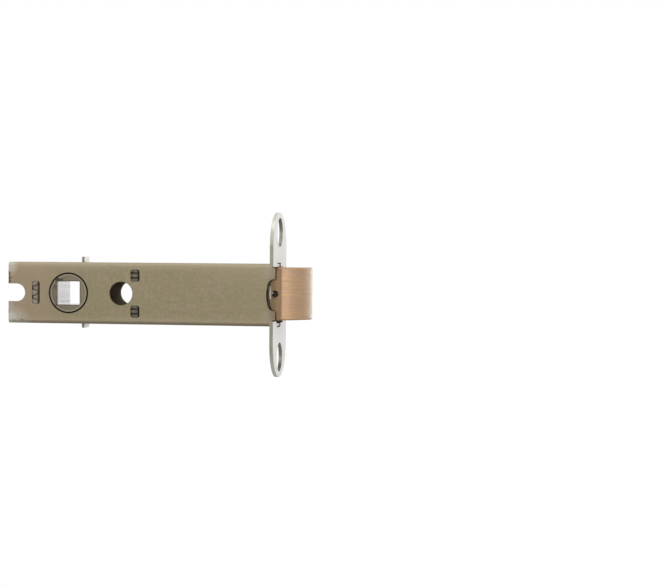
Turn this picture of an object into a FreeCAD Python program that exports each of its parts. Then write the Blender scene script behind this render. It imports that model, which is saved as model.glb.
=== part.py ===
import FreeCAD, Part
import math
import os

# Tubular door latch for a mortice in the edge of a door.
# Millimetres. X runs out of the door's edge, Z up along the forend and Y through the door's
# thickness. The origin is the centre of the forend's outer face. The door closes towards -Y,
# so the bolt's curved bevel looks that way.

V = FreeCAD.Vector

# Case: a folded channel with a flat cover
case_height = 21.5
case_depth = 13.5
case_sheet = 1.0
fold_radius = 1.2
backset = 74.0
rear_overhang = 22.0
case_end_round = 0.5

# Forend
forend_length = 57.0
forend_width = 24.0
forend_thickness = 1.3
forend_end_flat = 0.1
screw_inset = 6.9
screw_hole_radius = 5.0
tab_width = 6.0
tab_gap = 0.3
tab_shift = -1.6
front_edge_setback = 0.4

# Holes through the door for the furniture's bolts
furniture_bolt_pitch = 38.0
furniture_bolt_radius = 4.1
rear_slot_width = 6.2

# Follower
spindle_square = 8.1
spindle_corner_round = 0.3
boss_radius = 6.75
boss_gap = 0.3
collar_radius = 7.6
cam_radius = 6.4
cam_width = 5.0
lobe_reach = 9.2
lobe_nose_radius = 1.2
lobe_root_half_width = 3.4
lobe_root_share = 0.6

# Bolt
bolt_height_gap = 0.65
bolt_side_gap = 0.25
bolt_throw = 10.5
bolt_rides_high = 0.45
bolt_edge_round = 0.35
bevel_start = 1.1
bevel_bulge = 1.3
bolt_tip_land = 0.9
cheek_rear = 2.0
cheek_bulge = 0.9
cheek_bulge_height = 9.0
cheek_bevel_depth = 0.5
pin_radius = 1.15
pin_setback = 0.7
pin_recess = 0.7

# Clearance scoop in the near side at the bolt
scoop_height = 10.9
scoop_depth = 3.1
scoop_bulge = 0.4
scoop_corner = 2.4

# Carrier behind the bolt
carrier_length = 12.6
carrier_gap = 0.4
carrier_web = 5.0
carrier_rail = 3.0
tongue_width = 4.0
tongue_height = 10.0
tongue_reach = 6.5

# Draw rod
rod_grip = 8.0
rod_end_length = 2.4
rod_groove_depth = 0.6
washer_thickness = 0.5
washer_rim = 1.0
washer_spring_gap = 1.05
clip_thickness = 0.8
clip_inset = 0.1
clip_mouth_share = 0.85
roll_pin_radius = 0.8

# Yoke that draws the bolt in
yoke_sheet = 1.0
yoke_side_gap = 0.85
yoke_web_back = 32.0
yoke_tail = 2.0
window_length = 8.6
drive_plate_thickness = 1.0
drive_plate_width = 5.3
drive_plate_forward = 4.5
drive_plate_inner = 6.7
drive_plates_ride_high = 0.2
ear_stand_out = 1.8
ear_corner = 0.4
guide_slot_corner = 0.65

# Springs
bolt_spring_rod_gap = 0.5
bolt_spring_wire = 0.6
bolt_spring_turns = 5.6
return_spring_gap = 0.3
return_spring_wire = 0.9
return_spring_turns = 5.6
coil_steps = 12
wire_sides = 8

# Spacers with riveted tenons
abutment_ahead = 4.9
abutment_thickness = 2.8
abutment_end_gap = 0.35
abutment_hole_gap = 0.4
tenon_height = 4.1
tenon_corner_share = 0.3
rear_spacer_behind = 12.1
rear_spacer_thickness = 2.4
rear_spacer_height = 12.0
rear_tenon_height = 7.9
tenon_recess = 0.2
tenon_side_gap = 0.35
stake_groove = 0.6
stake_spacing = 1.6
stake_tilt = 20.0

# Clearances
running_fit = 0.2
slide_fit = 0.15
close_fit = 0.05
side_play = 0.1
travel_slack = 0.4

# Worked out from the sizes above
half_height = case_height / 2
half_depth = case_depth / 2
inner_height = half_height - case_sheet
inner_depth = half_depth - case_sheet
hub_x = -backset
case_rear = hub_x - rear_overhang
case_front = -forend_thickness
front_hole_x = hub_x + furniture_bolt_pitch / 2
rear_hole_x = hub_x - furniture_bolt_pitch / 2
abutment_x = front_hole_x + abutment_ahead
abutment_front = abutment_x + abutment_thickness / 2
rear_spacer_x = hub_x - rear_spacer_behind
plate_front = hub_x + drive_plate_forward
plate_rear = plate_front - drive_plate_thickness
drive_plate_reach = half_height + ear_stand_out
through = case_depth
forend_end_round = forend_width / 2 - forend_end_flat
screw_spacing = forend_length - 2 * screw_inset
bolt_height = 2 * (inner_height - bolt_height_gap)
bolt_depth = 2 * (inner_depth - bolt_side_gap)
aperture_half = inner_height - close_fit * 2
aperture_far = bolt_depth / 2 + slide_fit * 2
lip_low = bolt_rides_high - bolt_height / 2
lip_high = aperture_half - running_fit
carrier_front = -cheek_rear - cheek_bulge - carrier_gap
carrier_rear = carrier_front - carrier_length
carrier_half_depth = bolt_depth / 2 - side_play
yoke_width = 2 * (inner_depth - yoke_side_gap)
yoke_outer = inner_height - side_play
yoke_inner = yoke_outer - yoke_sheet
yoke_web_rear = -yoke_web_back
yoke_web_front = yoke_web_rear + yoke_sheet
abutment_height = 2 * (yoke_inner - abutment_end_gap)
tenon_offset = (abutment_height - tenon_height) / 2
return_spring_radius = inner_depth - return_spring_gap - return_spring_wire / 2
washer_radius = return_spring_radius - return_spring_wire / 2 - washer_spring_gap
rod_radius = washer_radius - washer_rim
rod_end_radius = rod_radius - rod_groove_depth
clip_radius = washer_radius - clip_inset
abutment_hole_radius = clip_radius + abutment_hole_gap
bolt_spring_radius = rod_radius + bolt_spring_rod_gap + bolt_spring_wire / 2
clip_front = yoke_web_rear - washer_thickness
rod_tail = clip_front - rod_end_length


def block(x0, x1, y0, y1, z0, z1):
    """A plain block between two corners."""
    return Part.makeBox(x1 - x0, y1 - y0, z1 - z0, V(x0, y0, z0))


def barAlongX(x0, x1, radius, z=0.0):
    return Part.makeCylinder(radius, x1 - x0, V(x0, 0, z), V(1, 0, 0))


def barAlongY(x, z, radius, y0, y1):
    return Part.makeCylinder(radius, y1 - y0, V(x, y0, z), V(0, 1, 0))


def roundEdges(shape, axis, radius, keep=lambda middle: True):
    """Fillet the straight edges that run along one axis, where keep says so."""
    chosen = []
    for edge in shape.Edges:
        first, last = edge.Vertexes[0].Point, edge.Vertexes[-1].Point
        run = last - first
        along = abs(run.dot(axis))
        straight = isinstance(edge.Curve, (Part.Line, Part.LineSegment))
        if straight and run.Length > 0 and along > 0.999 * run.Length:
            if keep((first + last) * 0.5):
                chosen.append(edge)
    return shape.makeFillet(radius, chosen)


def prism(edges, direction):
    """Extrude a closed outline along a direction."""
    return Part.Face(Part.Wire(edges)).extrude(direction)


def outlineXZ(points, y):
    corners = [V(x, y, z) for x, z in points]
    return Part.makePolygon(corners + corners[:1]).Edges


def openSlot(width, arc_x, open_x, y0, y1):
    """A slot with a round end, open to the rear."""
    arc = barAlongY(arc_x, 0, width / 2, y0, y1)
    return arc.fuse(block(open_x, arc_x, y0, y1, -width / 2, width / 2))


def sideCuts(y0, y1):
    """The holes that both side plates share, cut between two depths."""
    cuts = [barAlongY(hub_x, 0, boss_radius + boss_gap, y0, y1)]
    cuts.append(barAlongY(front_hole_x, 0, furniture_bolt_radius, y0, y1))
    cuts.append(openSlot(rear_slot_width, rear_hole_x, case_rear - 1, y0, y1))
    for x, thickness, z, height in tenonPlaces():
        slot = block(x - thickness / 2, x + thickness / 2 + tenon_side_gap, y0, y1,
                     z - height / 2, z + height / 2)
        cuts.append(roundEdges(slot, V(0, 1, 0), tenonRound(thickness)))
    return cuts


def tenonRound(thickness):
    return tenon_corner_share * thickness


def tenonPlaces():
    places = [(rear_spacer_x, rear_spacer_thickness, 0.0, rear_tenon_height)]
    for side in (-1, 1):
        places.append((abutment_x, abutment_thickness, side * tenon_offset, tenon_height))
    return places


def scoopCut():
    """The opening in the near side's front edge, where the bolt's cross pin shows."""
    half = scoop_height / 2
    deep = case_front - scoop_depth + forend_thickness
    y = -half_depth - 1
    upper_in = V(deep, y, half - scoop_corner)
    lower_in = V(deep, y, -half + scoop_corner)
    upper_out = V(deep + scoop_corner, y, half)
    lower_out = V(deep + scoop_corner, y, -half)
    inset = scoop_corner * (1 - math.sqrt(0.5))
    upper_mid = V(deep + inset, y, half - inset)
    lower_mid = V(deep + inset, y, -half + inset)
    edges = [
        Part.makeLine(V(1, y, half), upper_out),
        Part.Arc(upper_out, upper_mid, upper_in).toShape(),
        Part.Arc(upper_in, V(deep - scoop_bulge, y, 0), lower_in).toShape(),
        Part.Arc(lower_in, lower_mid, lower_out).toShape(),
        Part.makeLine(lower_out, V(1, y, -half)),
        Part.makeLine(V(1, y, -half), V(1, y, half)),
    ]
    return prism(edges, V(0, case_sheet + 2, 0))


def guideSlots():
    """Slots in the top and bottom for the drive plates and the swinging lobes."""
    half_width = drive_plate_width / 2 + running_fit
    rear = plate_rear - bolt_throw - travel_slack
    front = plate_front + travel_slack + drive_plate_thickness
    slot = block(rear, front, -half_width, half_width, -half_height - 1, half_height + 1)
    return roundEdges(slot, V(0, 0, 1), guide_slot_corner)


def makeCaseBody():
    shell = block(case_rear, case_front, -half_depth, half_depth, -half_height, half_height)
    shell = roundEdges(shell, V(1, 0, 0), fold_radius, lambda m: m.y < 0)
    hollow = block(case_rear - 1, case_front + 1, -inner_depth, half_depth + 1,
                   -inner_height, inner_height)
    inner_fold = max(fold_radius - case_sheet, 0.05)
    hollow = roundEdges(hollow, V(1, 0, 0), inner_fold, lambda m: m.y < 0)
    shell = shell.cut(hollow)
    lip = block(case_front, -front_edge_setback, -half_depth, -inner_depth, lip_low, lip_high)
    body = shell.fuse(lip)
    for side in (-1, 1):
        low, high = sorted((side * inner_height, side * half_height))
        tab = block(case_front, -front_edge_setback, tab_shift - tab_width / 2,
                    tab_shift + tab_width / 2, low, high)
        body = body.fuse(tab)
    body = body.cut(guideSlots()).cut(scoopCut())
    for cut in sideCuts(-half_depth - 1, -inner_depth + 0.5):
        body = body.cut(cut)
    return body.removeSplitter()


def makeCaseCover():
    cover = block(case_rear, case_front, inner_depth, half_depth, -inner_height, inner_height)
    cover = roundEdges(cover, V(0, 1, 0), case_end_round, lambda m: m.x < hub_x)
    for cut in sideCuts(inner_depth - 1, half_depth + 1):
        cover = cover.cut(cut)
    return cover


def makeForend():
    """The plate let into the door's edge, open on the near side for the case's front edge."""
    plate = block(case_front, 0, -forend_width / 2, forend_width / 2,
                  -forend_length / 2, forend_length / 2)
    plate = roundEdges(plate, V(1, 0, 0), forend_end_round)
    opening = block(case_front - 1, 1, -inner_depth, aperture_far, -aperture_half, aperture_half)
    plate = plate.cut(roundEdges(opening, V(1, 0, 0), case_sheet / 2, lambda m: m.y > 0))
    plate = plate.cut(block(case_front - 1, 1, -forend_width, 0, lip_low - running_fit, aperture_half))
    tab_half = tab_width / 2 + tab_gap
    tab_top = half_height + tab_gap
    plate = plate.cut(block(case_front - 1, 1, tab_shift - tab_half, tab_shift + tab_half,
                            -tab_top, tab_top))
    for side in (-1, 1):
        z = side * screw_spacing / 2
        plate = plate.cut(barAlongX(case_front - 1, 1, screw_hole_radius, z))
    return plate


def stakedTenon(x, thickness, z, height, side, tilt=0.0):
    """A tenon in its slot in a side plate, spread by chisel grooves that may zigzag."""
    outer = half_depth - tenon_recess
    low, high = sorted((side * inner_depth, side * outer))
    tenon = block(x - thickness / 2, x + thickness / 2, low, high, z - height / 2, z + height / 2)
    tenon = roundEdges(tenon, V(0, 1, 0), tenonRound(thickness))
    count = int(height / stake_spacing)
    for step in range(count):
        groove_z = z + (step - (count - 1) / 2) * stake_spacing
        groove = Part.makeBox(thickness * 2, stake_groove, stake_groove,
                              V(-thickness, -stake_groove / 2, -stake_groove / 2))
        groove.rotate(V(0, 0, 0), V(1, 0, 0), 45)
        groove.rotate(V(0, 0, 0), V(0, 1, 0), tilt * (-1) ** step)
        groove.translate(V(x, side * outer, groove_z))
        tenon = tenon.cut(groove)
    return tenon


def makeRearSpacer():
    x = rear_spacer_x
    half = rear_spacer_thickness / 2
    bar = block(x - half, x + half, -inner_depth, inner_depth,
                -rear_spacer_height / 2, rear_spacer_height / 2)
    for side in (-1, 1):
        bar = bar.fuse(stakedTenon(x, rear_spacer_thickness, 0, rear_tenon_height, side,
                                   stake_tilt))
    return bar.removeSplitter()


def makeSpringAbutment():
    x = abutment_x
    half = abutment_thickness / 2
    bar = block(x - half, x + half, -inner_depth, inner_depth,
                -abutment_height / 2, abutment_height / 2)
    bar = bar.cut(barAlongX(x - half - 1, x + half + 1, abutment_hole_radius))
    relief = furniture_bolt_radius + running_fit
    bar = bar.cut(barAlongY(front_hole_x, 0, relief, -through, through))
    for z in (-tenon_offset, tenon_offset):
        for side in (-1, 1):
            bar = bar.fuse(stakedTenon(x, abutment_thickness, z, tenon_height, side))
    return bar.removeSplitter()


def lobeAngle():
    """Where a lobe's centre line stands, so that its nose just clears the drive plate."""
    nose_x = drive_plate_forward + lobe_nose_radius + slide_fit
    return math.degrees(math.acos(nose_x / lobe_reach))


def makeLobe(sign):
    """One tapered lobe with a round nose, turned to its rest angle."""
    y = -cam_width / 2
    root = cam_radius * lobe_root_share
    outline = [(root, -lobe_root_half_width), (lobe_reach, -lobe_nose_radius),
               (lobe_reach, lobe_nose_radius), (root, lobe_root_half_width)]
    lobe = prism(outlineXZ(outline, y), V(0, cam_width, 0))
    lobe = lobe.fuse(barAlongY(lobe_reach, 0, lobe_nose_radius, y, -y))
    lobe.rotate(V(0, 0, 0), V(0, -1, 0), sign * lobeAngle())
    lobe.translate(V(hub_x, 0, 0))
    return lobe


def makeFollower():
    """The hub that the spindle turns, with a boss in each side plate and two lobes between."""
    collar_half = inner_depth - slide_fit
    hub = barAlongY(hub_x, 0, boss_radius, -half_depth, half_depth)
    inner_gap = cam_width / 2 + running_fit
    for side in (-1, 1):
        low, high = sorted((side * inner_gap, side * collar_half))
        hub = hub.fuse(barAlongY(hub_x, 0, collar_radius, low, high))
    for sign in (-1, 1):
        hub = hub.fuse(makeLobe(sign))
    waist = barAlongY(hub_x, 0, collar_radius, -inner_gap, inner_gap)
    waist = waist.cut(barAlongY(hub_x, 0, cam_radius, -inner_gap, inner_gap))
    lobes = makeLobe(-1).fuse(makeLobe(1))
    hub = hub.cut(waist.cut(lobes))
    relief = block(case_rear, plate_front + slide_fit, -inner_gap, inner_gap,
                   -half_height, half_height)
    hub = hub.cut(relief.cut(barAlongY(hub_x, 0, cam_radius, -inner_gap, inner_gap)))
    half = spindle_square / 2
    square = block(hub_x - half, hub_x + half, -through, through, -half, half)
    square = roundEdges(square, V(0, 1, 0), spindle_corner_round)
    return hub.cut(square).removeSplitter()


def makeRetractorYoke():
    """One strip folded to a U: a web across the case and an arm along its top and bottom."""
    half = yoke_width / 2
    tail = plate_rear - yoke_tail
    strip = block(tail, yoke_web_front, -half, half, -yoke_outer, yoke_outer)
    strip = roundEdges(strip, V(0, 1, 0), fold_radius, lambda m: m.x > yoke_web_rear)
    inside = block(tail - 1, yoke_web_rear, -half - 1, half + 1, -yoke_inner, yoke_inner)
    inside = roundEdges(inside, V(0, 1, 0), fold_radius - yoke_sheet, lambda m: m.x > tail)
    strip = strip.cut(inside)
    half_window = drive_plate_width / 2
    strip = strip.cut(block(plate_rear, plate_rear + window_length, -half_window, half_window,
                            -yoke_outer - 1, yoke_outer + 1))
    return strip.cut(barAlongX(yoke_web_rear - 1, yoke_web_front + 1, rod_radius + slide_fit))


def makeDrivePlate(side):
    """The plate that a lobe pushes, its ear standing out through the case's guide slot."""
    half = drive_plate_width / 2
    low, high = sorted((side * drive_plate_inner, side * drive_plate_reach))
    plate = block(plate_rear, plate_front, -half, half, low, high)
    plate = roundEdges(plate, V(1, 0, 0), ear_corner, lambda m: abs(m.z) > half_height)
    plate.translate(V(0, 0, drive_plates_ride_high))
    return plate


def coilSpring(x0, x1, radius, wire, turns):
    """A compression spring round the X axis with ground ends on its two seats."""
    length = x1 - x0
    steps = round(turns * coil_steps)
    slope = math.atan2(length / turns, 2 * math.pi * radius)
    rings = []
    for step in range(steps + 1):
        turn = 2 * math.pi * turns * step / steps
        out = V(0, math.cos(turn), math.sin(turn))
        along = V(math.sin(slope), -out.z * math.cos(slope), out.y * math.cos(slope))
        across = along.cross(out)
        centre = V(x0 + length * step / steps, 0, 0) + out * radius
        points = []
        for side in range(wire_sides):
            angle = 2 * math.pi * side / wire_sides
            points.append(centre + (out * math.cos(angle) + across * math.sin(angle)) * (wire / 2))
        rings.append(Part.makePolygon(points + points[:1]))
    coil = Part.makeLoft(rings, True, True)
    reach = radius + wire
    return coil.common(block(x0, x1, -reach, reach, -reach, reach))


def makeReturnSpring():
    return coilSpring(abutment_front + washer_thickness, yoke_web_rear,
                      return_spring_radius, return_spring_wire, return_spring_turns)


def makeReturnSpringWasher():
    outer = return_spring_radius + return_spring_wire / 2
    ring = barAlongX(abutment_front, abutment_front + washer_thickness, outer)
    return ring.cut(barAlongX(abutment_front - 1, yoke_web_rear, abutment_hole_radius))


def makeBoltSpring():
    return coilSpring(yoke_web_front + washer_thickness, carrier_rear,
                      bolt_spring_radius, bolt_spring_wire, bolt_spring_turns)


def makeBoltSpringWasher():
    outer = bolt_spring_radius + bolt_spring_wire
    ring = barAlongX(yoke_web_front, yoke_web_front + washer_thickness, outer)
    return ring.cut(barAlongX(yoke_web_front - 1, yoke_web_front + 1, rod_radius + slide_fit))


def makeBoltCarrier():
    """The slide behind the bolt: two rails on a web, with a tongue into the bolt's fork."""
    low = -bolt_height / 2 + bolt_rides_high
    high = bolt_height / 2 + bolt_rides_high
    slide = block(carrier_rear, carrier_front, -carrier_half_depth, carrier_half_depth, low, high)
    slide = roundEdges(slide, V(1, 0, 0), bolt_edge_round)
    wall = carrier_rail / 2
    for side in (-1, 1):
        near, far = sorted((side * carrier_web / 2, side * through))
        pocket = block(carrier_rear + wall, carrier_front - wall, near, far,
                       low + carrier_rail, high - carrier_rail)
        slide = slide.cut(roundEdges(pocket, V(0, 1, 0), wall / 2))
    middle = bolt_rides_high
    tongue = block(carrier_front - 1, carrier_front + tongue_reach, -tongue_width / 2,
                   tongue_width / 2, middle - tongue_height / 2, middle + tongue_height / 2)
    rod_boss = barAlongX(carrier_rear, carrier_rear + rod_grip + wall, rod_radius + wall)
    slide = slide.fuse(tongue).fuse(rod_boss)
    slide = slide.cut(barAlongX(carrier_rear - 1, carrier_rear + rod_grip, rod_radius))
    slide = slide.cut(barAlongY(-pin_setback, middle, pin_radius, -through, through))
    cross = carrier_rear + rod_grip / 2
    return slide.cut(barAlongY(cross, 0, roll_pin_radius, -through, through)).removeSplitter()


def bevelOutline(z):
    """The bolt seen from above: flat near side, curved bevel, blunt tip and flat far side."""
    near, far = -bolt_depth / 2, bolt_depth / 2
    start = V(bevel_start, near, z)
    tip = V(bolt_throw, far - bolt_tip_land, z)
    chord = tip - start
    outward = V(chord.y, -chord.x, 0).normalize()
    middle = (start + tip) * 0.5 + outward * bevel_bulge
    rear_near, rear_far = V(-cheek_rear, near, z), V(-cheek_rear, far, z)
    front_far = V(bolt_throw, far, z)
    return [
        Part.makeLine(rear_near, start),
        Part.Arc(start, middle, tip).toShape(),
        Part.makeLine(tip, front_far),
        Part.makeLine(front_far, rear_far),
        Part.makeLine(rear_far, rear_near),
    ]


def roundBoltEnds(head, low, high):
    """Soften the edges round the top and bottom faces ahead of the forend."""
    chosen = []
    for edge in head.Edges:
        box = edge.BoundBox
        flat = box.ZLength < 0.001 and min(abs(box.ZMin - low), abs(box.ZMin - high)) < 0.001
        if flat and box.XMax > bevel_start + 0.01:
            chosen.append(edge)
    return head.makeChamfer(bolt_edge_round, chosen)


def makeBoltHead():
    """The bolt with a fork at its rear, whose cheeks end in a shallow round."""
    middle = bolt_rides_high
    low, high = middle - bolt_height / 2, middle + bolt_height / 2
    head = roundBoltEnds(prism(bevelOutline(low), V(0, 0, bolt_height)), low, high)
    near = -bolt_depth / 2
    half = cheek_bulge_height / 2
    upper, lower = V(-cheek_rear, near, middle + half), V(-cheek_rear, near, middle - half)
    peak = V(-cheek_rear - cheek_bulge, near, middle)
    swell = [Part.Arc(upper, peak, lower).toShape(), Part.makeLine(lower, upper)]
    head = head.fuse(prism(swell, V(0, bolt_depth, 0)))
    for side in (-1, 1):
        face = side * bolt_depth / 2
        corners = [V(-cheek_rear, face, low), V(-cheek_rear - cheek_bulge, face, low),
                   V(-cheek_rear - cheek_bulge, face - side * cheek_bevel_depth, low)]
        wedge = Part.makePolygon(corners + corners[:1]).Edges
        head = head.cut(prism(wedge, V(0, 0, bolt_height)))
    tongue_half = tongue_width / 2 + slide_fit
    slot_half = tongue_height / 2 + slide_fit
    slot_end = carrier_front + tongue_reach + slide_fit
    head = head.cut(block(-backset, slot_end, -tongue_half, tongue_half,
                          middle - slot_half, middle + slot_half))
    return head.cut(barAlongY(-pin_setback, middle, pin_radius, -through, through)).removeSplitter()


def makeBoltPin():
    reach = bolt_depth / 2 - pin_recess
    return barAlongY(-pin_setback, bolt_rides_high, pin_radius, -reach, reach)


def makeDrawRod():
    """The rod from the carrier back through the yoke, with a groove for its clip."""
    rod = barAlongX(rod_tail, carrier_rear + rod_grip, rod_radius)
    groove = barAlongX(clip_front - clip_thickness, clip_front, rod_radius + 1)
    groove = groove.cut(barAlongX(clip_front - clip_thickness, clip_front, rod_end_radius))
    cross = carrier_rear + rod_grip / 2
    return rod.cut(groove).cut(barAlongY(cross, 0, roll_pin_radius, -through, through))


def makeDrawRodWasher():
    ring = barAlongX(clip_front, yoke_web_rear, washer_radius)
    return ring.cut(barAlongX(clip_front - 1, yoke_web_rear + 1, rod_radius + close_fit))


def makeDrawRodClip():
    """An open clip pushed into the rod's groove from above."""
    rear = clip_front - clip_thickness
    clip = barAlongX(rear, clip_front, clip_radius)
    clip = clip.cut(barAlongX(rear - 1, clip_front + 1, rod_end_radius))
    mouth = rod_end_radius * clip_mouth_share
    return clip.cut(block(rear - 1, clip_front + 1, -mouth, mouth, -clip_radius - 1, 0))


def makeCarrierRollPin():
    reach = rod_radius + carrier_rail / 2
    cross = carrier_rear + rod_grip / 2
    pin = barAlongY(cross, 0, roll_pin_radius, -reach, reach)
    return pin.cut(barAlongY(cross, 0, roll_pin_radius / 2, -reach, reach))


parts = {
    "case_body": makeCaseBody(),
    "case_cover": makeCaseCover(),
    "forend": makeForend(),
    "rear_spacer": makeRearSpacer(),
    "spring_abutment": makeSpringAbutment(),
    "follower": makeFollower(),
    "retractor_yoke": makeRetractorYoke(),
    "upper_drive_plate": makeDrivePlate(1),
    "lower_drive_plate": makeDrivePlate(-1),
    "return_spring": makeReturnSpring(),
    "return_spring_washer": makeReturnSpringWasher(),
    "bolt_spring": makeBoltSpring(),
    "bolt_spring_washer": makeBoltSpringWasher(),
    "bolt_carrier": makeBoltCarrier(),
    "bolt_head": makeBoltHead(),
    "bolt_pin": makeBoltPin(),
    "draw_rod": makeDrawRod(),
    "draw_rod_washer": makeDrawRodWasher(),
    "draw_rod_clip": makeDrawRodClip(),
    "carrier_roll_pin": makeCarrierRollPin(),
}

os.makedirs("parts", exist_ok=True)
for name, shape in parts.items():
    shape.exportStep("parts/" + name + ".step")
    print(name, "solids", len(shape.Solids), "volume", round(shape.Volume, 2), shape.isValid())
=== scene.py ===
import math

import bmesh
import bpy
from mathutils import Matrix, Vector


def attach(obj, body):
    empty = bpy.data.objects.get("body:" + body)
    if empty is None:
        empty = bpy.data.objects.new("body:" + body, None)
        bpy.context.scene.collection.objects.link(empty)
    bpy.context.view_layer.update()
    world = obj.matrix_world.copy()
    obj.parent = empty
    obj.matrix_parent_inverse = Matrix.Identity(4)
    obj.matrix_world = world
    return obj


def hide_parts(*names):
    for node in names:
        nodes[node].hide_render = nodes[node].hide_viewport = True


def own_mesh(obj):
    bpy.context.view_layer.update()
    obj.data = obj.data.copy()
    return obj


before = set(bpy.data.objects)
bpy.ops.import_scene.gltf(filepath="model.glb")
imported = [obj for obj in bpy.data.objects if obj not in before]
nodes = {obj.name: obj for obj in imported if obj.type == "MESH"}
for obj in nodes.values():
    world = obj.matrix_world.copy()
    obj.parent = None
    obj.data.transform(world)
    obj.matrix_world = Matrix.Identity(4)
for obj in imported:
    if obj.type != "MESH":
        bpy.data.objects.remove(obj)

# Looks of the tubular latch, in metres, in the same frame as its construction.
# X runs out of the door's edge, Z up along the forend, Y through the door.

collection = bpy.context.scene.collection
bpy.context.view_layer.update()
print("stage: frame loaded with", len(nodes), "nodes")


# Colours and nodes

def screen(red, green, blue):
    def linear(level):
        share = level / 255
        return share / 12.92 if share <= 0.04045 else ((share + 0.055) / 1.055) ** 2.4
    return (linear(red), linear(green), linear(blue), 1.0)


def make(tree, kind, settings=None, **inputs):
    made = tree.nodes.new("ShaderNode" + kind)
    for name, value in (settings or {}).items():
        setattr(made, name, value)
    for name, value in inputs.items():
        feed(tree, made.inputs[name.replace("_", " ")], value)
    return made


def feed(tree, socket, value):
    if isinstance(value, bpy.types.NodeSocket):
        tree.links.new(value, socket)
    else:
        socket.default_value = value


def maths(tree, operation, first, second=0.0, third=0.0):
    made = make(tree, "Math", {"operation": operation})
    for place, value in enumerate((first, second, third)):
        feed(tree, made.inputs[place], value)
    return made.outputs[0]


def allOf(tree, first, *others):
    for mask in others:
        first = maths(tree, "MULTIPLY", first, mask)
    return first


def vectorMaths(tree, operation, first, second=None):
    made = make(tree, "VectorMath", {"operation": operation})
    feed(tree, made.inputs[0], first)
    if second is not None:
        feed(tree, made.inputs[1], second)
    single = operation in ("DOT_PRODUCT", "LENGTH", "DISTANCE")
    return made.outputs["Value" if single else "Vector"]


def split(tree, vector):
    return make(tree, "SeparateXYZ", Vector=vector).outputs


def remap(tree, value, low, high, toLow=0.0, toHigh=1.0, smooth=False):
    kind = "SMOOTHSTEP" if smooth else "LINEAR"
    made = make(tree, "MapRange", {"interpolation_type": kind, "clamp": True}, Value=value,
                From_Min=low, From_Max=high, To_Min=toLow, To_Max=toHigh)
    return made.outputs["Result"]


def chosen(tree, mask, without, within):
    return remap(tree, mask, 0.0, 1.0, without, within)


# Sockets 0, 6 and 7 of a colour mix are its factor and its two colours
def mixed(tree, factor, first, second, blend="MIX"):
    made = make(tree, "Mix", {"data_type": "RGBA", "blend_type": blend, "clamp_factor": True})
    feed(tree, made.inputs[0], factor)
    feed(tree, made.inputs[6], first)
    feed(tree, made.inputs[7], second)
    return made.outputs[2]


def noise(tree, place, scale, detail=3.0, rough=0.55):
    made = make(tree, "TexNoise", {"noise_dimensions": "3D"}, Vector=place, Scale=scale,
                Detail=detail, Roughness=rough)
    return made.outputs[0]


def newGroup(name, inputs, outputs):
    group = bpy.data.node_groups.new(name, "ShaderNodeTree")
    for label, kind, value in inputs:
        socket = group.interface.new_socket(label, in_out="INPUT", socket_type="NodeSocket" + kind)
        if value is not None:
            socket.default_value = value
    for label, kind in outputs:
        group.interface.new_socket(label, in_out="OUTPUT", socket_type="NodeSocket" + kind)
    entry = group.nodes.new("NodeGroupInput")
    leave = group.nodes.new("NodeGroupOutput")
    return group, entry.outputs, leave.inputs


def useGroup(tree, group, **inputs):
    made = tree.nodes.new("ShaderNodeGroup")
    made.node_tree = group
    for name, value in inputs.items():
        feed(tree, made.inputs[name], value)
    return made.outputs


# Shared effects, each built once

mottleValues = {
    "patch": {"scale": 95.0, "detail": 2.0, "rough": 0.55, "low": 0.36, "high": 0.64},
    "cloud": {"scale": 420.0, "detail": 4.0, "rough": 0.6, "low": 0.34, "high": 0.66},
    "speck": {"scale": 2600.0, "detail": 2.0, "rough": 0.7, "low": 0.56, "high": 0.7},
}


def makeMottle(values):
    group, entry, leave = newGroup(
        "Mottle", [("Place", "Vector", None), ("Size", "Float", 1.0)],
        [("Patch", "Float"), ("Cloud", "Float"), ("Speck", "Float")])
    sized = make(group, "VectorMath", {"operation": "SCALE"}, Scale=entry["Size"])
    feed(group, sized.inputs[0], entry["Place"])
    for name, layer in values.items():
        level = noise(group, sized.outputs["Vector"], layer["scale"], layer["detail"],
                      layer["rough"])
        spread = remap(group, level, layer["low"], layer["high"], smooth=True)
        feed(group, leave[name.title()], spread)
    return group


grainValues = {
    "fine": {"scale": 9000.0, "detail": 2.0, "rough": 0.6},
    "broad": {"scale": 2200.0, "detail": 3.0, "rough": 0.6},
    "wide": {"scale": 850.0, "detail": 4.0, "rough": 0.65},
}


def makeGrain(values):
    group, entry, leave = newGroup(
        "RolledGrain", [("Place", "Vector", None), ("Stretch", "Vector", (1.0, 1.0, 1.0))],
        [("Fine", "Float"), ("Broad", "Float"), ("Wide", "Float")])
    drawn = vectorMaths(group, "MULTIPLY", entry["Place"], entry["Stretch"])
    for name, layer in values.items():
        level = noise(group, drawn, layer["scale"], layer["detail"], layer["rough"])
        feed(group, leave[name.title()], level)
    return group


wearValues = {"radius": 0.00035, "samples": 4, "low": 0.015, "high": 0.2,
              "breakScale": 900.0, "breakDetail": 4.0, "breakRough": 0.6,
              "breakLow": 0.35, "breakHigh": 0.6, "least": 0.35}


def makeWear(values):
    group, entry, leave = newGroup("EdgeWear", [("Place", "Vector", None)], [("Mask", "Float")])
    softened = make(group, "Bevel", {"samples": values["samples"]}, Radius=values["radius"])
    straight = make(group, "NewGeometry")
    alike = vectorMaths(group, "DOT_PRODUCT", softened.outputs[0], straight.outputs["Normal"])
    turned = maths(group, "SUBTRACT", 1.0, alike)
    edge = remap(group, turned, values["low"], values["high"], smooth=True)
    level = noise(group, entry["Place"], values["breakScale"], values["breakDetail"],
                  values["breakRough"])
    broken = remap(group, level, values["breakLow"], values["breakHigh"], values["least"], 1.0)
    feed(group, leave["Mask"], allOf(group, edge, broken))
    return group


# Painted shade: darker in crevices and recesses, as one minus ambient occlusion
creviceValues = {"reach": 0.0012, "samples": 8}


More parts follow.
